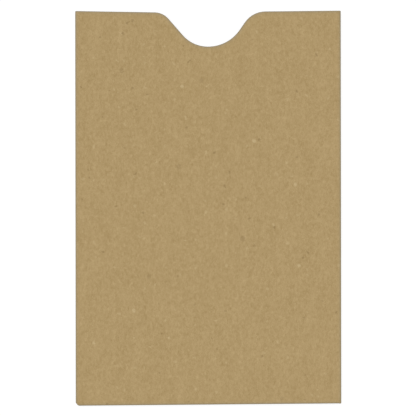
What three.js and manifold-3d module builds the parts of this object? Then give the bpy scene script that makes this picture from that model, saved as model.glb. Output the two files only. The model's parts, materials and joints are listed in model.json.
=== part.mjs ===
// Paper card sleeve: one die-cut kraft board blank, folded at three scored lines and glued along two flaps.
// The spine fold joins the front and back panels, and the side and bottom flaps hang on the front panel,
// turn in behind it and are glued to the inside of the back panel.
// Millimetres. The sleeve lies on its back panel with its front up (+Z) and its mouth towards +Y.
// The origin is the middle of its footprint, on the table.

import * as THREE from 'three';
import { mergeVertices } from 'three/addons/utils/BufferGeometryUtils.js';
import Module from 'manifold-3d';

const wasm = await Module();
wasm.setup();

// Outline
const width = 60; // outside of the spine fold to outside of the side fold
const height = 89.15; // along the spine, mouth corner to bottom corner
const bottomSkew = 0.42; // degrees by which the bottom fold rises towards the side fold
const cornerRelief = 0.65; // leg of the 45 degree cut across the corner of the spine and bottom folds

// Board, glue and pocket
const board = 0.35; // thickness of the kraft board
const glueFilm = 0.05; // thickness of the dried glue
const cardRoom = 0.85; // free depth above the flaps, for a 0.76 mm card

// Folds
const foldInside = 0.1; // inner radius of a scored fold
const foldSlit = 0.05; // hairline between a fold and the panel or flap that hangs on it

// Thumb notch, cut through both panels in the middle of the mouth
const notchDepth = 8.1; // below the corners of the mouth
const leftFloorRadius = 7.55;
const leftFlankAngle = 49; // degrees above level
const leftShoulderRadius = 4.2;
const leftLipSlope = 1.1; // degrees by which the lip falls towards the notch
const rightFloorRadius = 8.7;
const rightFlankAngle = 55.4;
const rightShoulderRadius = 5.7;
const rightLipSlope = 0.6;

// Back panel
const coverSetback = 0.6; // its free edges stand this far inside the side and bottom folds

// Glue flaps
const sideFlapWidth = 10;
const sideFlapInset = 0.5; // from the mouth down to the flap's upper end
const bottomFlapDepth = 11;
const bottomFlapInset = 0.4; // from the spine fold to the flap's left end
const flapTaper = 20; // degrees by which a free end leans in
const flapCorner = 1; // radius of the flaps' inner corners
const mitreGap = 0.6; // from the inner corner of the folds to each flap's mitred end

// Glue lines, in the middle of the flaps
const glueWidth = 5;
const glueMargin = 1.5; // from a flap's end to the glue

const curveSegments = 8;

// Levels, from the table up
const flapLevel = board + glueFilm;
const frontLevel = flapLevel + board + cardRoom;
const thickness = frontLevel + board;

// Plan
const left = -width / 2;
const right = width / 2;
const mouth = height / 2;
const foot = -height / 2;
const skew = THREE.MathUtils.degToRad(bottomSkew);
const bottomLength = width / Math.cos(skew);
const foldReach = board + foldInside; // from a fold's outer face to the end of its rounding
const hangLine = foldReach + foldSlit; // from a fold's outer face to what hangs on it

// Height of a line inside the bottom edge, parallel to it, at a place along the width.
function bottomLine(x, inset) {
  return foot + inset / Math.cos(skew) + (x - left) * Math.tan(skew);
}

function corner(x, y, radius = 0) {
  return { point: new THREE.Vector2(x, y), radius };
}

// A closed outline through corners given counter-clockwise, each rounded by an arc of its own radius.
function outline(corners) {
  const shape = new THREE.Shape();
  corners.forEach(({ point, radius }, i) => {
    if (radius === 0) {
      if (i === 0) shape.moveTo(point.x, point.y);
      else shape.lineTo(point.x, point.y);
      return;
    }
    const before = corners.at(i - 1).point.clone().sub(point).normalize();
    const after = corners[(i + 1) % corners.length].point.clone().sub(point).normalize();
    const half = before.angleTo(after) / 2;
    const middle = before.clone().add(after).normalize();
    const centre = middle.multiplyScalar(radius / Math.sin(half)).add(point);
    const tangent = radius / Math.tan(half);
    const start = before.clone().multiplyScalar(tangent).add(point).sub(centre);
    const end = after.clone().multiplyScalar(tangent).add(point).sub(centre);
    shape.absarc(centre.x, centre.y, radius, start.angle(), end.angle(), before.cross(after) > 0);
  });
  return shape;
}

function plate(corners, depth) {
  return new THREE.ExtrudeGeometry(outline(corners), { depth, bevelEnabled: false, curveSegments });
}

// Half of the mouth's edge, measured outwards from the notch's lowest point: where the round floor would
// meet the flank, where the flank would meet the lip, and the lip's height at a distance from the middle.
function mouthHalf(floorRadius, flankAngle, shoulderRadius, lipSlope) {
  const flank = THREE.MathUtils.degToRad(flankAngle);
  const fall = Math.tan(THREE.MathUtils.degToRad(lipSlope));
  const lip = (x) => mouth - (width / 2 - x) * fall;
  const floorX = floorRadius * Math.tan(flank / 2);
  const floorY = mouth - notchDepth;
  const shoulderX = (lip(0) - floorY + floorX * Math.tan(flank)) / (Math.tan(flank) - fall);
  return { floorX, floorY, floorRadius, shoulderX, shoulderY: lip(shoulderX), shoulderRadius, lip };
}

const mouthLeft = mouthHalf(leftFloorRadius, leftFlankAngle, leftShoulderRadius, leftLipSlope);
const mouthRight = mouthHalf(rightFloorRadius, rightFlankAngle, rightShoulderRadius, rightLipSlope);

// A panel with straight sides, a bottom edge parallel to the bottom fold, and the notched mouth.
function panel(leftEdge, rightEdge, bottomInset) {
  return plate(
    [
      corner(leftEdge, bottomLine(leftEdge, bottomInset)),
      corner(rightEdge, bottomLine(rightEdge, bottomInset)),
      corner(rightEdge, mouthRight.lip(rightEdge)),
      corner(mouthRight.shoulderX, mouthRight.shoulderY, mouthRight.shoulderRadius),
      corner(mouthRight.floorX, mouthRight.floorY, mouthRight.floorRadius),
      corner(-mouthLeft.floorX, mouthLeft.floorY, mouthLeft.floorRadius),
      corner(-mouthLeft.shoulderX, mouthLeft.shoulderY, mouthLeft.shoulderRadius),
      corner(leftEdge, mouthLeft.lip(-leftEdge)),
    ],
    board,
  );
}

// A fold: a strip of board bent back on itself, between the sheet on top and the sheet at its lower level.
// Its outer face lies on x = 0, it opens towards +X, and it runs along Y from one end to the other.
function foldStrip(lower, from, to) {
  const section = [
    corner(foldReach, thickness),
    corner(0, thickness, foldReach),
    corner(0, lower, foldReach),
    corner(foldReach, lower),
    corner(foldReach, lower + board),
    corner(board, lower + board, foldInside),
    corner(board, frontLevel, foldInside),
    corner(foldReach, frontLevel),
  ];
  return plate(section, to - from).rotateX(Math.PI / 2).translate(0, to, 0);
}

function asSolid(geometry) {
  const bare = new THREE.BufferGeometry().setAttribute('position', geometry.getAttribute('position'));
  const merged = mergeVertices(bare.setIndex(geometry.index));
  return new wasm.Manifold(
    new wasm.Mesh({
      numProp: 3,
      vertProperties: merged.getAttribute('position').array,
      triVerts: new Uint32Array(merged.index.array),
    }),
  );
}

function subtract(geometry, tool) {
  const { vertProperties, triVerts } = asSolid(geometry).subtract(asSolid(tool)).getMesh();
  const rest = new THREE.BufferGeometry()
    .setAttribute('position', new THREE.BufferAttribute(vertProperties, 3))
    .setIndex(new THREE.BufferAttribute(triVerts, 1))
    .toNonIndexed();
  rest.computeVertexNormals();
  return rest;
}

// The relief is a four-sided post on the corner, so that it cuts both folds at 45 degrees.
function cutRelief(geometry) {
  const post = new THREE.CylinderGeometry(cornerRelief, cornerRelief, 3 * thickness, 4);
  return subtract(geometry, post.rotateX(Math.PI / 2));
}

function kraft() {
  return new THREE.MeshStandardMaterial({ color: 0xaf976b, roughness: 0.9, metalness: 0 });
}

function driedGlue() {
  return new THREE.MeshStandardMaterial({ color: 0xd8cba8, roughness: 0.4, metalness: 0 });
}

function piece(name, geometry, material, x = 0, y = 0, z = 0) {
  const mesh = new THREE.Mesh(geometry, material);
  mesh.name = name;
  mesh.position.set(x, y, z);
  return mesh;
}

function frontPanel() {
  return piece('front_panel', panel(left + hangLine, right - hangLine, hangLine), kraft(), 0, 0, frontLevel);
}

function backPanel() {
  return piece('back_panel', panel(left + hangLine, right - coverSetback, coverSetback), kraft());
}

function spineFold() {
  return piece('spine_fold', cutRelief(foldStrip(0, 0, height)), kraft(), left, foot);
}

function sideFold() {
  const fold = piece('side_fold', foldStrip(flapLevel, 0, mouth - bottomLine(right, 0)), kraft(), right, mouth);
  fold.rotation.z = Math.PI;
  return fold;
}

// The side flap's outer edge, and the height where the side and bottom folds' inner lines cross
const sideHang = right - hangLine;
const cornerHeight = bottomLine(right - foldReach, foldReach);

function sideFlap() {
  const inner = sideHang - sideFlapWidth;
  const lean = sideFlapWidth * Math.tan(THREE.MathUtils.degToRad(flapTaper));
  const flap = plate(
    [
      corner(sideHang, cornerHeight + mitreGap),
      corner(sideHang, mouth - sideFlapInset),
      corner(inner, mouth - sideFlapInset - lean, flapCorner),
      corner(inner, cornerHeight + mitreGap + sideFlapWidth, flapCorner),
    ],
    board,
  );
  return piece('side_flap', flap, kraft(), 0, 0, flapLevel);
}

// A glue line is a round-ended strip.
function glueLine(x0, y0, x1, y1) {
  const end = glueWidth / 2;
  return plate([corner(x0, y0, end), corner(x1, y0, end), corner(x1, y1, end), corner(x0, y1, end)], glueFilm);
}

function sideGlue() {
  const reach = (sideFlapWidth + glueWidth) / 2;
  const lean = reach * Math.tan(THREE.MathUtils.degToRad(flapTaper));
  const lower = cornerHeight + mitreGap + reach + glueMargin;
  const upper = mouth - sideFlapInset - lean - glueMargin;
  const strip = glueLine(sideHang - reach, lower, sideHang - reach + glueWidth, upper);
  return piece('side_glue', strip, driedGlue(), 0, 0, board);
}

// The bottom pieces share a group on the bottom-left corner, turned with the bottom fold.
function bottomFold() {
  const strip = foldStrip(flapLevel, hangLine - bottomLength, -hangLine);
  const fold = piece('bottom_fold', cutRelief(strip), kraft());
  fold.rotation.z = Math.PI / 2;
  return fold;
}

function bottomFlap() {
  const start = hangLine + bottomFlapInset;
  const end = bottomLength - foldReach - mitreGap;
  const lean = bottomFlapDepth * Math.tan(THREE.MathUtils.degToRad(flapTaper));
  const flap = plate(
    [
      corner(start, hangLine),
      corner(end, hangLine),
      corner(end - bottomFlapDepth, hangLine + bottomFlapDepth, flapCorner),
      corner(start + lean, hangLine + bottomFlapDepth, flapCorner),
    ],
    board,
  );
  return piece('bottom_flap', flap, kraft(), 0, 0, flapLevel);
}

function bottomGlue() {
  const reach = (bottomFlapDepth + glueWidth) / 2;
  const lean = reach * Math.tan(THREE.MathUtils.degToRad(flapTaper));
  const start = hangLine + bottomFlapInset + lean + glueMargin;
  const end = bottomLength - foldReach - mitreGap - reach - glueMargin;
  const strip = glueLine(start, hangLine + reach - glueWidth, end, hangLine + reach);
  return piece('bottom_glue', strip, driedGlue(), 0, 0, board);
}

const bottom = new THREE.Group();
bottom.position.set(left, foot, 0);
bottom.rotation.z = skew;
bottom.add(bottomFold(), bottomFlap(), bottomGlue());

const sleeve = new THREE.Group();
sleeve.name = 'card_sleeve';
sleeve.add(frontPanel(), backPanel(), spineFold(), sideFold(), sideFlap(), sideGlue(), bottom);

export default sleeve;
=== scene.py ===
import json
import math

import bpy
import numpy as np
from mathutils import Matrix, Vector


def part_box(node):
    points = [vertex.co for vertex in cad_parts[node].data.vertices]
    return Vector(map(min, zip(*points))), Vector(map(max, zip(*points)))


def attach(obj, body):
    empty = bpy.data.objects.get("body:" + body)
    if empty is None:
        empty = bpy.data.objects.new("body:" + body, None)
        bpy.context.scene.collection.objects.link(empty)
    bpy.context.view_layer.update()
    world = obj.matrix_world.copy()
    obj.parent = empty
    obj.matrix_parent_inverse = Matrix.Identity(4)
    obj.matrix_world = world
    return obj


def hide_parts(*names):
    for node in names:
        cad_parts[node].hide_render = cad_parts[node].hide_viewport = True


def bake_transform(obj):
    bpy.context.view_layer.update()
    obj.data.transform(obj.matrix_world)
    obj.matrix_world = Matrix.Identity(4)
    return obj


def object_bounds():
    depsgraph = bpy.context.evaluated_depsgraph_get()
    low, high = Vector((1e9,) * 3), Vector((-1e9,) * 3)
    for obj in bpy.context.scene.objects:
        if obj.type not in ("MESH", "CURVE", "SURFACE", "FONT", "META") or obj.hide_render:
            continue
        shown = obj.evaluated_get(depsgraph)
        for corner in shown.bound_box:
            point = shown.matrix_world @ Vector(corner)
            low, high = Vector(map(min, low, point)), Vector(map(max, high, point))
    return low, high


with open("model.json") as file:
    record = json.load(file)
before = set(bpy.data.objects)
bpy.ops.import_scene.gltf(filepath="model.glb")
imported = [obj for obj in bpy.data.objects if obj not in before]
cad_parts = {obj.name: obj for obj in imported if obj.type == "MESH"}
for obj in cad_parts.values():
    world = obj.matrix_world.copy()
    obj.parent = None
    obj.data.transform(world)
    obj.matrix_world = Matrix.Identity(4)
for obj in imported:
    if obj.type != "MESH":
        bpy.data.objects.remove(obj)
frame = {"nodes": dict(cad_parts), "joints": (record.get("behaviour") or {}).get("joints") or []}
cad_low, cad_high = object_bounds()

# Looks of a kraft board card sleeve. Every board piece is a patch of one die-cut blank: the patch is laid
# out flat in blank coordinates, given its thickness, and then folded to where the frame says.
# Metres. The sleeve lies on its back with its front up (+Z) and its mouth towards +Y.

MM = 0.001

# Sizes read from the frame
front_low, front_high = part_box("front_panel")
spine_low, spine_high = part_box("spine_fold")
LEFT = cad_low.x
RIGHT = cad_high.x
MOUTH = cad_high.y
FOOT = -MOUTH  # of the bottom left corner, before its relief is cut
TOP = cad_high.z
BOARD = front_high.z - front_low.z
FOLD_RADIUS = spine_high.x - spine_low.x
SEAM = (FOLD_RADIUS + front_low.x - LEFT) / 2  # from a fold's outer face to where its panel begins
FLAP_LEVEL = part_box("side_flap")[0].z
COVER_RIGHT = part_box("back_panel")[1].x
COVER_SETBACK = RIGHT - COVER_RIGHT
HINGE_AXIS = frame["joints"][0]["axis"]
SKEW = math.atan2(HINGE_AXIS[1], HINGE_AXIS[0])
BOTTOM_LENGTH = (RIGHT - LEFT) / math.cos(SKEW)

# Thumb notch and corner relief, as cut in the CAD
NOTCH_DEPTH = 8.1 * MM
LEFT_FLOOR_RADIUS = 7.55 * MM
LEFT_FLANK = math.radians(49)
LEFT_SHOULDER_RADIUS = 4.2 * MM
LEFT_LIP = math.radians(1.1)
RIGHT_FLOOR_RADIUS = 8.7 * MM
RIGHT_FLANK = math.radians(55.4)
RIGHT_SHOULDER_RADIUS = 5.7 * MM
RIGHT_LIP = math.radians(0.6)
CORNER_RELIEF = 0.65 * MM

# Glue flaps, as cut in the CAD
SIDE_FLAP_WIDTH = 10 * MM
SIDE_FLAP_INSET = 0.5 * MM
BOTTOM_FLAP_DEPTH = 11 * MM
BOTTOM_FLAP_INSET = 0.4 * MM
FLAP_TAPER = math.tan(math.radians(20))
FLAP_CORNER = 1 * MM
MITRE_GAP = 0.6 * MM
MITRE_LEAN = 1.0  # both flaps are cut back along a diagonal where they meet

# Soft unevenness of the board
FRONT_CROWN = 0.28 * MM  # how far the front bows up at the middle of the mouth
FRONT_UNEVEN = 0.35  # share of the crown that comes and goes in slow waves
FRONT_UNEVEN_FROM = 0.125  # share of the crown's rise over which the waves set in
BACK_ARCH = 0.1 * MM  # how far the back lifts off the table in the middle
BACK_UNEVEN = 0.25
BACK_MARGIN = 2 * MM  # flat strip beside the spine
BACK_RISE = 12 * MM  # how far the arch takes to rise from the sides
BACK_RISE_BOTTOM = 20 * MM
FLAP_CURL = 0.22 * MM  # how far a flap's free edge springs up into the pocket
FLAP_UNEVEN = 0.3
BULGE = 9 * MM, 13 * MM  # scale of the slow waves, across and along
RIPPLE = 6 * MM, 15 * MM
RIPPLE_SHARE = 0.35
FRONT_WAVES = 1.7, 0.9, 2.3  # phases of the bulges, across and along, and of the ripples
BACK_WAVES = 3.4, 1.8, 4.6
FLAP_WAVES = 5.1, 2.7, 6.9

# How a sheet can end, from the sheet out to its end: distance in from the end, and depth below the face
GOES_ON = [(0.0, 0.0)]
FOLDED = [(0.4 * MM, 0.0), (0.0, 0.0)]
DIE_ROUND = [(0.12 * MM, 0.0), (0.06 * MM, 0.015 * MM), (0.02 * MM, 0.05 * MM), (0.0, 0.11 * MM)]
CUT = [(0.7 * MM, 0.0), (0.35 * MM, 0.0)] + DIE_ROUND
LEAST_ROUND = 0.05  # share of the rounding that is left where one crease runs on into another
WEAR_AND_SHADE_REACH = 0.85 * MM  # how far in from an edge the board shows rubbing, and painted shade

# Fineness of the meshes
ROW_STEP = 1.5 * MM
COLUMN_STEP = 0.4 * MM
FLAP_STEP = 0.5 * MM
ARC_STEPS = 24
FOLD_STEPS = 10
SHARP_ANGLE = math.radians(50)


def corner(x, y, radius=0.0):
    """A corner of a line in the plan, and the radius that rounds it."""
    return np.array([x, y]), radius


def rounded(corners):
    """Points of an open line through corners, each rounded by an arc of its own radius."""
    points = []
    for i, (point, radius) in enumerate(corners):
        if radius == 0:
            points.append(point)
            continue
        before = corners[i - 1][0] - point
        after = corners[i + 1][0] - point
        before /= np.linalg.norm(before)
        after /= np.linalg.norm(after)
        half = math.acos(before @ after) / 2
        middle = (before + after) / np.linalg.norm(before + after)
        centre = point + middle * radius / math.sin(half)
        across = (before - after) / np.linalg.norm(before - after)
        sweep = math.pi / 2 - half
        for angle in np.linspace(sweep, -sweep, ARC_STEPS + 1):
            points.append(centre - middle * radius * math.cos(angle) + across * radius * math.sin(angle))
    return np.array(points)


def mouth_half(floor_radius, flank, shoulder_radius, lip):
    """The two corners of the mouth's edge between its lowest point and its end, measured outwards."""
    fall = math.tan(lip)
    floor_x = floor_radius * math.tan(flank / 2)
    floor_y = MOUTH - NOTCH_DEPTH
    lip_start = MOUTH - RIGHT * fall
    shoulder_x = (lip_start - floor_y + floor_x * math.tan(flank)) / (math.tan(flank) - fall)
    shoulder_y = lip_start + shoulder_x * fall
    return (floor_x, floor_y, floor_radius), (shoulder_x, shoulder_y, shoulder_radius)


def mouth_points():
    """Points of the mouth's edge, from left to right."""
    left = mouth_half(LEFT_FLOOR_RADIUS, LEFT_FLANK, LEFT_SHOULDER_RADIUS, LEFT_LIP)
    right = mouth_half(RIGHT_FLOOR_RADIUS, RIGHT_FLANK, RIGHT_SHOULDER_RADIUS, RIGHT_LIP)
    left_corners = [corner(-x, y, radius) for x, y, radius in reversed(left)]
    right_corners = [corner(x, y, radius) for x, y, radius in right]
    return rounded([corner(LEFT, MOUTH), *left_corners, *right_corners, corner(RIGHT, MOUTH)])


MOUTH_LINE = mouth_points()
MOUTH_SLOPE = np.gradient(MOUTH_LINE[:, 1], MOUTH_LINE[:, 0])


def mouth_edge(x):
    """Height of the mouth's edge in the plan."""
    return np.interp(x, MOUTH_LINE[:, 0], MOUTH_LINE[:, 1])


def mouth_stretch(x):
    """How much longer a step along Y is than the same step square to the mouth's edge."""
    return np.sqrt(1 + np.interp(x, MOUTH_LINE[:, 0], MOUTH_SLOPE) ** 2)


def bottom_edge(x, inset):
    """Height of a line parallel to the bottom fold's outer face, a distance inside it."""
    return FOOT + inset / math.cos(SKEW) + (x - LEFT) * math.tan(SKEW)


def from_bottom(along, inward):
    """Plan position of a point given along the bottom fold from the left corner, and inward from it."""
    x = LEFT + along * math.cos(SKEW) - inward * math.sin(SKEW)
    y = FOOT + along * math.sin(SKEW) + inward * math.cos(SKEW)
    return x, y


def ease(t):
    """A smooth rise from 0 to 1."""
    t = np.clip(t, 0, 1)
    return t * t * (3 - 2 * t)


def waves(x, y, phases):
    """Slow unevenness between -1 and 1, on a scale of a few centimetres."""
    across, along, slanting = phases
    bulges = np.sin(x / BULGE[0] + across) * np.sin(y / BULGE[1] + along)
    ripples = np.sin(x / RIPPLE[0] - y / RIPPLE[1] + slanting)
    return bulges + RIPPLE_SHARE * (ripples - bulges)


def front_relief(x, y):
    """The front bows up, most at the mouth, and lies flat where it meets its folds."""
    across = np.cos(np.clip(x / (RIGHT - SEAM), -1, 1) * math.pi / 2) ** 2
    along = ease((y - bottom_edge(x, SEAM)) / (MOUTH - FOOT))
    uneven = FRONT_UNEVEN * ease(along / FRONT_UNEVEN_FROM) * waves(x, y, FRONT_WAVES)
    return FRONT_CROWN * across * (along + uneven)


def back_relief(x, y):
    """The back arches off the table between its glued margins."""
    inside_left = ease((x - LEFT - BACK_MARGIN) / BACK_RISE)
    inside_right = ease((COVER_RIGHT - SIDE_FLAP_WIDTH - x) / BACK_RISE)
    inside_bottom = ease((y - FOOT - BOTTOM_FLAP_DEPTH) / BACK_RISE_BOTTOM)
    uneven = 1 + BACK_UNEVEN * (waves(x, y, BACK_WAVES) - 1)
    return BACK_ARCH * inside_left * inside_right * inside_bottom * uneven


def worn_and_shaded(distance):
    """How much an edge is greyed, from 1 on an edge to 0 a little way in: rubbing from handling, and
    painted shade where the board turns away from the light.
    """
    return np.clip(1 - distance / WEAR_AND_SHADE_REACH, 0, 1) ** 2


def panel_wear_and_shade(x, y, right, bottom_inset):
    """Rubbing and painted shade on a panel between the spine, its right edge, its bottom edge and the
    mouth.
    """
    from_side = np.minimum(x - LEFT, right - x)
    from_bottom_edge = y - bottom_edge(x, bottom_inset)
    from_mouth = (mouth_edge(x) - y) / mouth_stretch(x)
    return worn_and_shaded(np.minimum(from_side, np.minimum(from_bottom_edge, from_mouth)))


def profile(length, step, start, end):
    """Rows along one way of a patch: share of the way, distance on from there, depth below the face."""
    shares = np.linspace(0, 1, math.ceil(length / step) + 1)
    clear_of_ends = (shares * length > start[0][0]) & ((1 - shares) * length > end[0][0])
    first = [(0.0, inset, depth) for inset, depth in reversed(start)]
    between = [(share, 0.0, 0.0) for share in shares[clear_of_ends]]
    last = [(1.0, -inset, depth) for inset, depth in end]
    return np.array(first + between + last)


def spread(start, end, way, stretch=1):
    """Places from a start to an end along one way of a patch. Its steps are longer where it slants."""
    share, step = way
    return start + (end - start) * share + step * stretch


def board_mesh(name, across, along, place):
    """A closed board patch. Each column goes up its outer face, over the edge and down its inner face.
    place gives the folded position, the blank position and the edge's rubbing and painted shade, for the
    ways across and along the patch and a depth below its outer face."""
    share, step, pinch = (column[:, None] for column in across.T)
    outer_share, outer_step, outer_depth = along.T
    row_share = np.concatenate([outer_share, outer_share[::-1]])[None, :]
    row_step = np.concatenate([outer_step, outer_step[::-1]])[None, :]
    depth = np.concatenate([outer_depth, BOARD - outer_depth[::-1]])[None, :]
    depth = pinch + (BOARD - 2 * pinch) * depth / BOARD
    position, blank, wear_and_shade = place((share, step), (row_share, row_step), depth)
    columns, rows = depth.shape
    index = np.arange(columns * rows).reshape(columns, rows)
    following = np.roll(index, -1, axis=1)
    sides = np.stack([index[:-1], index[1:], following[1:], following[:-1]], axis=-1)
    faces = sides.reshape(-1, 4).tolist()
    half = rows // 2
    for end, turn in ((index[0], 1), (index[-1], -1)):
        outer, inner = end[:half], end[::-1][:half]
        caps = np.stack([outer[:-1], outer[1:], inner[1:], inner[:-1]], axis=-1)
        faces += caps[:, ::turn].tolist()
    mesh = bpy.data.meshes.new(name)
    mesh.from_pydata(position.reshape(-1, 3).tolist(), [], faces)
    mesh.attributes.new("blank", "FLOAT_VECTOR", "POINT").data.foreach_set("vector", blank.ravel())
    wear_and_shade = np.broadcast_to(wear_and_shade, depth.shape)
    mesh.attributes.new("wear_and_shade", "FLOAT", "POINT").data.foreach_set("value", wear_and_shade.ravel())
    if volume_of(mesh) < 0:
        mesh.flip_normals()
    mesh.shade_smooth()
    mesh.set_sharp_from_angle(angle=SHARP_ANGLE)
    made = bpy.data.objects.new(name, mesh)
    bpy.context.scene.collection.objects.link(made)
    return made


def volume_of(mesh):
    """A closed mesh's volume, which is negative where its faces point in."""
    mesh.calc_loop_triangles()
    corners = np.array([v.co for v in mesh.vertices])[np.array([t.vertices for t in mesh.loop_triangles])]
    return np.einsum("ij,ij->i", corners[:, 0], np.cross(corners[:, 1], corners[:, 2])).sum() / 6


def stacked(*parts):
    """Points from their coordinates, each given for the columns, for the rows or for both."""
    return np.stack(np.broadcast_arrays(*parts), axis=-1)


def front_half(name, first, last):
    """Half of the front, from its outer edge to the middle."""
    def place(across, along, depth):
        x = spread(first, last, across)
        y = spread(bottom_edge(x, SEAM), mouth_edge(x), along, mouth_stretch(x))
        position = stacked(x, y, TOP - depth + front_relief(x, y))
        return position, stacked(x, y, depth), panel_wear_and_shade(x, y, RIGHT, 0)

    across = profile(abs(last - first), COLUMN_STEP, GOES_ON, GOES_ON)
    along = profile(MOUTH - FOOT, ROW_STEP, FOLDED, CUT)
    return board_mesh(name, across, along, place)


class Fold:
    """The bend between the front and a sheet below it, seen along the fold: way round its outer face,
    distance in from its outermost face, height, and how far the board leans over there."""

    def __init__(self, lower):
        radius = FOLD_RADIUS
        turn = np.linspace(0, math.pi / 2, FOLD_STEPS + 1)
        upper = np.array([(radius * (1 - math.sin(a)), TOP - radius * (1 - math.cos(a)), a) for a in turn])
        under = np.array([(i, TOP + lower - z, math.pi - a) for i, z, a in upper[::-1]])
        ends = (SEAM, TOP, 0.0), (SEAM, lower, math.pi)
        path = np.vstack([ends[0], upper, under, ends[1]])
        steps = np.linalg.norm(np.diff(path[:, :2], axis=0), axis=1)
        way = np.concatenate([[0], np.cumsum(steps)])
        self.length = way[-1]
        self.profile = np.column_stack([way / self.length, 0 * way, 0 * way])
        self.way = way[:, None]
        self.inward, self.height, self.lean = (values[:, None] for values in path.T)

    def at(self, depth):
        """Distance in from the outer face, and height, at a depth in the board."""
        inward = self.inward + depth * np.sin(self.lean)
        height = self.height - depth * np.cos(self.lean)
        return inward, height


SPINE = Fold(0.0)
FLAP_FOLD = Fold(FLAP_LEVEL)


def spine_crease():
    """The folded left edge. Its lower end is cut by the relief, and draws level with the back below."""
    def place(_, along, depth):
        inward, z = SPINE.at(depth)
        x = LEFT + inward
        level_with_back = COVER_SETBACK * ease(SPINE.lean / math.pi * 2 - 1)
        low = bottom_edge(x, 0) + np.maximum(level_with_back, CORNER_RELIEF - inward)
        y = spread(low, mouth_edge(x), along)
        wear_and_shade = worn_and_shaded(np.minimum(SPINE.inward, mouth_edge(x) - y))
        return stacked(x, y, z), stacked(LEFT + SEAM - SPINE.way, y, depth), wear_and_shade

    along = profile(MOUTH - FOOT, ROW_STEP, DIE_ROUND, CUT)
    return board_mesh("spine_crease", SPINE.profile, along, place)


def side_crease():
    """The folded right edge."""
    def place(_, along, depth):
        inward, z = FLAP_FOLD.at(depth)
        x = RIGHT - inward
        y = spread(bottom_edge(x, 0), mouth_edge(x), along)
        wear_and_shade = worn_and_shaded(np.minimum(FLAP_FOLD.inward, mouth_edge(x) - y))
        return stacked(x, y, z), stacked(RIGHT - SEAM + FLAP_FOLD.way, y, depth), wear_and_shade

    along = profile(MOUTH - FOOT, ROW_STEP, DIE_ROUND, CUT)
    return board_mesh("side_crease", FLAP_FOLD.profile, along, place)


def bottom_crease():
    """The folded bottom edge, from the relief to the right edge's fold."""
    def place(_, along, depth):
        inward, z = FLAP_FOLD.at(depth)
        start = np.maximum(SEAM, CORNER_RELIEF - inward)
        rounded_off = np.clip((start - SEAM) / DIE_ROUND[0][0], LEAST_ROUND, 1)
        x, y = from_bottom(spread(start, BOTTOM_LENGTH - SEAM, along, rounded_off), inward)
        blank_y = bottom_edge(x, SEAM) - FLAP_FOLD.way
        return stacked(x, y, z), stacked(x, blank_y, depth), worn_and_shaded(FLAP_FOLD.inward)

    along = profile(BOTTOM_LENGTH, ROW_STEP, DIE_ROUND, GOES_ON)
    return board_mesh("bottom_crease", FLAP_FOLD.profile, along, place)


def back_sheet():
    """The back, from the spine to its own cut edge on the right."""
    first = LEFT + SEAM

    def place(across, along, depth):
        x = spread(first, COVER_RIGHT, across)
        y = spread(bottom_edge(x, COVER_SETBACK), mouth_edge(x), along, mouth_stretch(x))
        blank_x = first - SPINE.length - (x - first)
        position = stacked(x, y, depth + back_relief(x, y))
        return position, stacked(blank_x, y, depth), panel_wear_and_shade(x, y, COVER_RIGHT, COVER_SETBACK)

    across = profile(COVER_RIGHT - first, COLUMN_STEP, GOES_ON, CUT)
    along = profile(MOUTH - FOOT, ROW_STEP, CUT, CUT)
    return board_mesh("back_sheet", across, along, place)


def flap_ends(width, start, end, start_lean, end_lean):
    """Lower and upper end of a flap for distances in from its hanging edge, with rounded free corners."""
    lower_corner = corner(width, start + width * start_lean, FLAP_CORNER)
    upper_corner = corner(width, end - width * end_lean, FLAP_CORNER)
    lower = rounded([corner(0, start), lower_corner, corner(width, end)])
    upper = rounded([corner(0, end), upper_corner, corner(width, start)])
    return lower[: ARC_STEPS + 2], upper[: ARC_STEPS + 2]


def flap_mesh(name, width, ends, folded):
    """A flap. folded gives the plan and blank position for a distance in from the hanging edge and a place
    along it."""
    lower, upper = ends

    def place(across, along, depth):
        inward = spread(0, width, along)
        low = np.interp(inward, lower[:, 0], lower[:, 1])
        high = np.interp(inward, upper[:, 0], upper[:, 1])
        x, y, blank_x, blank_y = folded(inward, spread(low, high, across))
        curl = FLAP_CURL * ease(inward / width * 2 - 1) * (1 + FLAP_UNEVEN * waves(x, y, FLAP_WAVES))
        return stacked(x, y, FLAP_LEVEL + depth + curl), stacked(blank_x, blank_y, depth), 0.0

    across = profile(upper[0, 1] - lower[0, 1], FLAP_STEP, DIE_ROUND, DIE_ROUND)
    along = profile(width, FLAP_STEP, GOES_ON, DIE_ROUND)
    return board_mesh(name, across, along, place)


def side_tab():
    """The glue flap behind the right edge."""
    hang = RIGHT - SEAM

    def folded(inward, along):
        return hang - inward, along, hang + FLAP_FOLD.length + inward, along

    start = bottom_edge(RIGHT - FOLD_RADIUS, FOLD_RADIUS) + MITRE_GAP
    ends = flap_ends(SIDE_FLAP_WIDTH, start, MOUTH - SIDE_FLAP_INSET, MITRE_LEAN, FLAP_TAPER)
    return flap_mesh("side_tab", SIDE_FLAP_WIDTH, ends, folded)


def bottom_tab():
    """The glue flap behind the bottom edge."""
    def folded(inward, along):
        x, y = from_bottom(along, SEAM + inward)
        return x, y, x, bottom_edge(x, SEAM) - FLAP_FOLD.length - inward

    start = SEAM + BOTTOM_FLAP_INSET
    end = BOTTOM_LENGTH - FOLD_RADIUS - MITRE_GAP
    ends = flap_ends(BOTTOM_FLAP_DEPTH, start, end, FLAP_TAPER, MITRE_LEAN)
    return flap_mesh("bottom_tab", BOTTOM_FLAP_DEPTH, ends, folded)


# Display colours, from 0 to a white level, and the curve by which a display shows linear light
WHITE_LEVEL = 255
CURVE_OFFSET = 0.055
CURVE_POWER = 2.4
KRAFT = (173, 148, 103)
DARK_FLECK = (112, 90, 54)
PALE_FLECK = (216, 196, 154)
# Colour of a cut edge: the board's own darker inside, deepened as painted shade
CUT_EDGE_AND_SHADE = (128, 113, 88)
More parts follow.
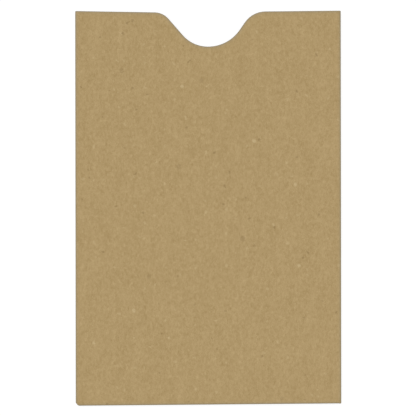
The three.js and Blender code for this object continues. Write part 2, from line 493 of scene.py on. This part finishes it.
# Grey of the edges: rubbing from handling, and painted shade where the folds and cut edges turn from the
# light
WORN_AND_SHADED = (150, 140, 115)
GLUE = (216, 203, 168)

# How far the lightest and darkest spots are from those colours
FELT_TONE = 12
PLY_TONE = 25
GLUE_TONE = 15

# The felt, in millimetres and degrees. Fibres: width and length, and directions, each with a weight
FIBRE_SIZE = 0.38, 1.5
FIBRE_WAYS = ((0, 0.6), (27, 0.4), (-33, 0.4), (62, 0.3), (-71, 0.3))
FINE_SIZE = 0.04, 0.9
FINE_WAYS = ((8, 0.35), (-19, 0.35), (45, 0.3), (-58, 0.3), (81, 0.25))
FIBRE_FADE = 0.1, 0.55  # where a fibre's shade starts to fade and ends, as shares of its width and length
FIBRE_BEND = 1.6, 0.5  # scale and reach of the bends in the fibres
# Soft noise: size across, along and through the sheet
GRAIN_SIZE = 0.7, 0.8, 0.7
CLOUD_SIZE = 3.0, 9.0, 3.0
NOISE_DETAIL = 3
MIDDLE = 0.5  # of a noise or a chance number, which lie between 0 and 1
LAYER_SHIFT = 0.37  # moves each layer of fibres, times its angle, so that no two layers agree
# Loose fibres: spacing across and along, direction, and thickness as a share of the spacing
PALE_HAIRS = ((0.6, 2.6, 12, 0.022), (0.8, 2.8, -38, 0.016), (0.9, 2.4, 74, 0.014))
DARK_HAIRS = ((0.6, 2.8, -6, 0.022), (0.8, 2.6, 41, 0.016), (0.9, 2.5, -66, 0.014))
HAIR_GAPS = 0.5, 0.6  # levels of noise between which a loose fibre dips out of sight
# Specks: cell size, stretch, direction, share of the cells that hold one, largest radius and strength
DARK_FLECKS = (
    (2.6, 1.0, 10, 0.11, 0.36, 0.36),
    (3.4, 2.6, 35, 0.13, 0.22, 0.36),
    (3.9, 3.2, -50, 0.13, 0.21, 0.36),
    (4.3, 2.2, 85, 0.13, 0.22, 0.36),
    (9.0, 1.2, -15, 0.12, 0.7, 0.2),
)
PALE_FLECKS = (
    (2.3, 1.3, 0, 0.3, 0.34, 0.2),
    (2.9, 2.0, 60, 0.3, 0.26, 0.2),
    (5.5, 1.2, 20, 0.15, 0.46, 0.33),
)
FLECK_BEND = 0.3, 0.9  # scale and reach of the bends in a speck's rim
FLECK_BLUR = 0.35  # soft rim of a speck, as a share of the largest radius
FLECK_POWER = 1.5  # makes small specks commoner than large ones
FLECK_SHIFT = 10  # moves each layer of specks, times its cell size
SKIN = 0.015  # depth over which the face's colour gives way to the cut edge's
PLY_SIZE = 0.8, 0.8, 0.045  # of the noise that draws the plies on a cut edge
STREAK_SIZE = 1.1, 2.5, 1.1  # of the noise that draws the streaks in the glue

# How strongly each of these shows
FIBRE_SHOWS = 0.74
FINE_SHOWS = 1.5
GRAIN_SHOWS = 0.66
CLOUD_SHOWS = 0.42
PALE_HAIR_SHOWS = 0.35
DARK_HAIR_SHOWS = 0.2
# Edges: rubbing from handling, and painted shade where the board turns from the light
WEAR_AND_SHADE_SHOWS = 0.7
WEAR_AND_SHADE_UNEVEN = 0.5  # how much more it shows on raised fibres
BUMP_SHOWS = 0.4
BUMP_HEIGHT = 0.03

# Gloss: roughness of the darkest and lightest spots, between two levels of the pattern
KRAFT_LEVELS = 0.2, 0.8
KRAFT_ROUGHNESS = 0.95, 0.8
KRAFT_SPECULAR = 0.25
GLUE_LEVELS = 0.3, 0.7
GLUE_ROUGHNESS = 0.3, 0.5


def paint(colour, lighter=0):
    """A display colour, lighter by some levels, as the linear colour that shaders take."""
    shares = [(value + lighter) / WHITE_LEVEL for value in colour]
    linear = [((share + CURVE_OFFSET) / (1 + CURVE_OFFSET)) ** CURVE_POWER for share in shares]
    return (*linear, 1.0)


class Nodes:
    """Adds shader nodes to one tree. Inputs are values or other nodes' outputs."""

    def __init__(self, tree):
        self.tree = tree

    def add(self, kind, inputs, **settings):
        made = self.tree.nodes.new(kind)
        for name, value in settings.items():
            setattr(made, name, value)
        for name, value in inputs.items():
            self.set(made.inputs[name], value)
        return made

    def set(self, socket, value):
        if isinstance(value, bpy.types.NodeSocket):
            self.tree.links.new(value, socket)
        else:
            socket.default_value = value

    def maths(self, operation, a, b=0.0, c=0.0):
        return self.add("ShaderNodeMath", {0: a, 1: b, 2: c}, operation=operation).outputs[0]

    def total(self, parts):
        """The sum of parts, each times its weight."""
        result = 0.0
        for part, weight in parts:
            result = self.maths("MULTIPLY_ADD", part, weight, result)
        return result

    def ramp(self, value, low, high, to_low=0.0, to_high=1.0):
        """A smooth step from to_low to to_high, as a value goes from low to high."""
        inputs = {"Value": value, "From Min": low, "From Max": high, "To Min": to_low, "To Max": to_high}
        return self.add("ShaderNodeMapRange", inputs, interpolation_type="SMOOTHSTEP").outputs["Result"]

    def mixed(self, share, a, b):
        """A colour that goes from a to b. The colour inputs of a Mix node are its 6 and 7."""
        return self.add("ShaderNodeMix", {0: share, 6: a, 7: b}, data_type="RGBA").outputs[2]

    def cells(self, place, size, angle=0, shift=0):
        """A place counted in cells of a size, which lie turned by an angle in degrees."""
        turn = (0, 0, math.radians(angle))
        inputs = {"Vector": place, "Location": (shift, shift, 0), "Rotation": turn, "Scale": size}
        return self.add("ShaderNodeMapping", inputs, vector_type="TEXTURE").outputs[0]

    def bent(self, place, size, reach):
        """A place shifted by soft noise, so that what is drawn there has no straight lines."""
        inputs = {"Vector": self.cells(place, (size, size, size)), "Scale": 1.0}
        shift = self.add("ShaderNodeTexNoise", inputs).outputs["Color"]
        inputs = {0: shift, 1: (reach, reach, 0), 2: place}
        return self.add("ShaderNodeVectorMath", inputs, operation="MULTIPLY_ADD").outputs[0]

    def noise(self, place, size):
        """Soft noise between about -0.5 and 0.5."""
        inputs = {"Vector": self.cells(place, size), "Scale": 1.0, "Detail": NOISE_DETAIL}
        return self.maths("SUBTRACT", self.add("ShaderNodeTexNoise", inputs).outputs[0], MIDDLE)

    def marks(self, place, width, length, angle, shift):
        """One mark in each cell: how far from its middle, and the cell's own chance number."""
        local = self.cells(place, (width, length, 1), angle, shift)
        made = self.add("ShaderNodeTexVoronoi", {"Vector": local, "Scale": 1.0}, voronoi_dimensions="2D")
        chance = self.add("ShaderNodeSeparateColor", {0: made.outputs["Color"]}).outputs[0]
        return made.outputs["Distance"], chance

    def strands(self, place, width, length, angle):
        """Fibres laid along an angle, each a shade lighter or darker, between -0.5 and 0.5."""
        distance, chance = self.marks(place, width, length, angle, LAYER_SHIFT * angle)
        shade = self.maths("SUBTRACT", chance, MIDDLE)
        return self.maths("MULTIPLY", shade, self.ramp(distance, *FIBRE_FADE, 1, 0))

    def felted(self, place, size, ways):
        """Fibres of one size, laid in several directions, each with its weight."""
        return self.total((self.strands(place, *size, angle), weight) for angle, weight in ways)

    def hairs(self, place, width, length, angle, thickness):
        """Thin curled fibres between 0 and 1, mostly along an angle: broken level lines of a noise."""
        local = self.cells(place, (width, length, width), angle, LAYER_SHIFT * angle)
        inputs = {"Vector": local, "Scale": 1.0, "Detail": 0.0}
        field = self.add("ShaderNodeTexNoise", inputs).outputs["Color"]
        level, gaps, _ = self.add("ShaderNodeSeparateColor", {0: field}).outputs
        away = self.maths("ABSOLUTE", self.maths("SUBTRACT", level, MIDDLE))
        line = self.ramp(away, 0, thickness, 1, 0)
        return self.maths("MULTIPLY", line, self.ramp(gaps, *HAIR_GAPS))

    def flecks(self, place, kind):
        """Specks of one kind, from 0 to its strength, on a share of the cells and of many sizes."""
        spacing, stretch, angle, share, radius, strength = kind
        distance, chance = self.marks(place, spacing, spacing * stretch, angle, FLECK_SHIFT * spacing)
        size = self.maths("POWER", self.ramp(chance, 1 - share, 1), FLECK_POWER)
        inside = self.maths("MULTIPLY_ADD", size, radius / spacing, self.maths("MULTIPLY", distance, -1))
        return self.ramp(inside, 0, FLECK_BLUR * radius / spacing, 0, strength)


def new_material(name):
    """A new material, with its nodes and its shader."""
    material = bpy.data.materials.new(name)
    material.use_nodes = True
    return material, Nodes(material.node_tree), material.node_tree.nodes["Principled BSDF"]


def kraft_material():
    """Recycled kraft board: felted fibres, soft clouds, dark and pale flecks, plies on cut edges, and grey
    edges from rubbing and painted shade.
    """
    material, nodes, shader = new_material("kraft_board")
    blank = nodes.add("ShaderNodeAttribute", {}, attribute_name="blank").outputs["Vector"]
    wear_and_shade = nodes.add("ShaderNodeAttribute", {}, attribute_name="wear_and_shade").outputs["Fac"]
    place = nodes.cells(blank, (MM, MM, MM))
    depth = nodes.add("ShaderNodeSeparateXYZ", {0: place}).outputs["Z"]
    wavy = nodes.bent(place, *FIBRE_BEND)
    ragged = nodes.bent(place, *FLECK_BEND)

    felt = nodes.total(
        (
            (nodes.felted(wavy, FIBRE_SIZE, FIBRE_WAYS), FIBRE_SHOWS),
            (nodes.felted(wavy, FINE_SIZE, FINE_WAYS), FINE_SHOWS),
            (nodes.noise(place, GRAIN_SIZE), GRAIN_SHOWS),
            (nodes.total((nodes.hairs(place, *hair), 1.0) for hair in PALE_HAIRS), PALE_HAIR_SHOWS),
            (nodes.total((nodes.hairs(place, *hair), 1.0) for hair in DARK_HAIRS), -DARK_HAIR_SHOWS),
        )
    )
    cloud = nodes.noise(place, CLOUD_SIZE)
    tone = nodes.total(((felt, 1.0), (cloud, CLOUD_SHOWS), (1.0, MIDDLE)))
    colour = nodes.mixed(tone, paint(KRAFT, -FELT_TONE), paint(KRAFT, FELT_TONE))
    for kinds, fleck_colour in ((DARK_FLECKS, DARK_FLECK), (PALE_FLECKS, PALE_FLECK)):
        for kind in kinds:
            colour = nodes.mixed(nodes.flecks(ragged, kind), colour, paint(fleck_colour))

    # The edges turn grey: rubbing from handling, and painted shade on the rounded folds and cut edges
    rubbed_and_shaded = nodes.maths("MULTIPLY", wear_and_shade, nodes.total(((felt, WEAR_AND_SHADE_UNEVEN), (1.0, WEAR_AND_SHADE_SHOWS))))
    colour = nodes.mixed(rubbed_and_shaded, colour, paint(WORN_AND_SHADED))

    into = nodes.ramp(depth, 0, SKIN)
    out = nodes.ramp(depth, BOARD / MM - SKIN, BOARD / MM, 1, 0)
    ply = nodes.maths("ADD", nodes.noise(place, PLY_SIZE), MIDDLE)
    # Cut edges take their own darker colour, deepened as painted shade
    edge = nodes.mixed(ply, paint(CUT_EDGE_AND_SHADE, -PLY_TONE), paint(CUT_EDGE_AND_SHADE, PLY_TONE))
    colour = nodes.mixed(nodes.maths("MULTIPLY", into, out), colour, edge)

    fuzz = {"Strength": BUMP_SHOWS, "Distance": BUMP_HEIGHT * MM, "Height": felt}
    bump = nodes.add("ShaderNodeBump", fuzz)
    nodes.set(shader.inputs["Base Color"], colour)
    nodes.set(shader.inputs["Roughness"], nodes.ramp(tone, *KRAFT_LEVELS, *KRAFT_ROUGHNESS))
    nodes.set(shader.inputs["Normal"], bump.outputs["Normal"])
    shader.inputs["Specular IOR Level"].default_value = KRAFT_SPECULAR
    return material


def glue_material():
    """Dried white glue: pale, a little glossy, with faint streaks."""
    material, nodes, shader = new_material("dried_glue")
    place = nodes.cells(nodes.add("ShaderNodeTexCoord", {}).outputs["Object"], (MM, MM, MM))
    streaks = nodes.maths("ADD", nodes.noise(place, STREAK_SIZE), MIDDLE)
    colour = nodes.mixed(streaks, paint(GLUE, -GLUE_TONE), paint(GLUE, GLUE_TONE))
    nodes.set(shader.inputs["Base Color"], colour)
    nodes.set(shader.inputs["Roughness"], nodes.ramp(streaks, *GLUE_LEVELS, *GLUE_ROUGHNESS))
    return material


kraft = kraft_material()
glue = glue_material()


def dress(piece, material, slot, *nodes):
    """Gives a piece its material, and hides the CAD nodes that it stands for. The slot is not used."""
    piece.data.materials.append(material)
    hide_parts(*nodes)
    return piece


# The front is two halves that meet in the middle.
for name, outer in (("front_sheet_left", LEFT + SEAM), ("front_sheet_right", RIGHT - SEAM)):
    half = dress(front_half(name, outer, 0.0), kraft, "kraft_board", "front_panel")
    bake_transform(half)

for make, cad_node in (
    (back_sheet, "back_panel"),
    (spine_crease, "spine_fold"),
    (side_crease, "side_fold"),
    (bottom_crease, "bottom_fold"),
    (side_tab, "side_flap"),
    (bottom_tab, "bottom_flap"),
):
    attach(dress(make(), kraft, "kraft_board", cad_node), "sleeve")

for cad_node in ("side_glue", "bottom_glue"):
    strip = frame["nodes"][cad_node]
    strip.data.materials.clear()
    strip.data.materials.append(glue)


# Stage
FLOOR_DROP = 0.02 * MM
FLOOR_HALF = 2.0
SKY = 0.45  # light from all round; with the lamp it lights a level surface at 1
LAMP = 1 - SKY
LAMP_TILT = math.radians(12)
LAMP_TURN = math.radians(35)
LAMP_SPREAD = math.radians(40)
FLOOR_GREY = 0.35  # of the floor as it lights the object
FLOOR_SHADE = 0.25  # share of the shown floor's white that a shadow can take away
FLOOR_GLOW = 0.8


def seen_directly(nodes):
    """1 for rays from the camera, a mirror or glass, and 0 for rays that carry light to the object."""
    path = nodes.add("ShaderNodeLightPath", {})
    direct = nodes.maths("MAXIMUM", path.outputs["Is Camera Ray"], path.outputs["Is Glossy Ray"])
    return nodes.maths("MAXIMUM", direct, path.outputs["Is Transmission Ray"])


def grey(level):
    return level, level, level, 1.0


def floor_material():
    """White paper floor, which shows white with only a faint shadow."""
    material, nodes, shader = new_material("floor")
    material.node_tree.nodes.remove(shader)
    plain = nodes.add("ShaderNodeBsdfDiffuse", {"Color": grey(FLOOR_GREY)})
    shadow = nodes.add("ShaderNodeBsdfDiffuse", {"Color": grey(FLOOR_SHADE)})
    white = nodes.add("ShaderNodeEmission", {"Color": grey(1), "Strength": FLOOR_GLOW})
    shown = nodes.add("ShaderNodeAddShader", {0: shadow.outputs[0], 1: white.outputs[0]})
    choice = {0: seen_directly(nodes), 1: plain.outputs[0], 2: shown.outputs[0]}
    surface = nodes.add("ShaderNodeMixShader", choice)
    nodes.set(material.node_tree.nodes["Material Output"].inputs["Surface"], surface.outputs[0])
    return material


def make_floor():
    mesh = bpy.data.meshes.new("floor")
    level = cad_low.z - FLOOR_DROP
    corners = [(x * FLOOR_HALF, y * FLOOR_HALF, level) for x, y in ((-1, -1), (1, -1), (1, 1), (-1, 1))]
    mesh.from_pydata(corners, [], [(0, 1, 2, 3)])
    mesh.materials.append(floor_material())
    floor = bpy.data.objects.new("floor", mesh)
    bpy.context.scene.collection.objects.link(floor)


def make_light():
    """Even white light from all round and a soft lamp, in front of a white backdrop."""
    world = bpy.data.worlds.new("studio")
    world.use_nodes = True
    bpy.context.scene.world = world
    nodes = Nodes(world.node_tree)
    light = world.node_tree.nodes["Background"]
    light.inputs["Color"].default_value = grey(1)
    light.inputs["Strength"].default_value = SKY
    backdrop = nodes.add("ShaderNodeBackground", {"Color": grey(1), "Strength": 1.0})
    choice = {0: seen_directly(nodes), 1: light.outputs[0], 2: backdrop.outputs[0]}
    both = nodes.add("ShaderNodeMixShader", choice)
    nodes.set(world.node_tree.nodes["World Output"].inputs["Surface"], both.outputs[0])
    lamp = bpy.data.lights.new("softbox", "SUN")
    lamp.energy = LAMP * math.pi / math.cos(LAMP_TILT)
    lamp.angle = LAMP_SPREAD
    holder = bpy.data.objects.new("softbox", lamp)
    holder.rotation_euler = (LAMP_TILT, 0, math.pi + LAMP_TURN)
    bpy.context.scene.collection.objects.link(holder)


# Camera, straight above the front. Pixels are those of the photograph, which is square. The lens and the
# sensor are in millimetres.
PHOTO_SIDE = 416
SLEEVE_WIDTH_PX = 265.8
SLEEVE_CENTRE_PX = (208.23, 208.27)
ROLL = math.radians(-0.085)
LENS = 150
SENSOR = 36


def make_camera():
    pixel = (RIGHT - LEFT) / SLEEVE_WIDTH_PX
    distance = LENS / SENSOR * PHOTO_SIDE * pixel
    camera = bpy.data.cameras.new("camera")
    camera.lens = LENS
    camera.sensor_width = SENSOR
    holder = bpy.data.objects.new("camera", camera)
    x = (PHOTO_SIDE / 2 - SLEEVE_CENTRE_PX[0]) * pixel
    y = (SLEEVE_CENTRE_PX[1] - PHOTO_SIDE / 2) * pixel
    holder.location = (x, y, TOP + distance)
    holder.rotation_euler = (0, 0, ROLL)
    bpy.context.scene.collection.objects.link(holder)
    bpy.context.scene.camera = holder


make_floor()
make_light()
make_camera()
bpy.context.scene.view_settings.view_transform = "Standard"
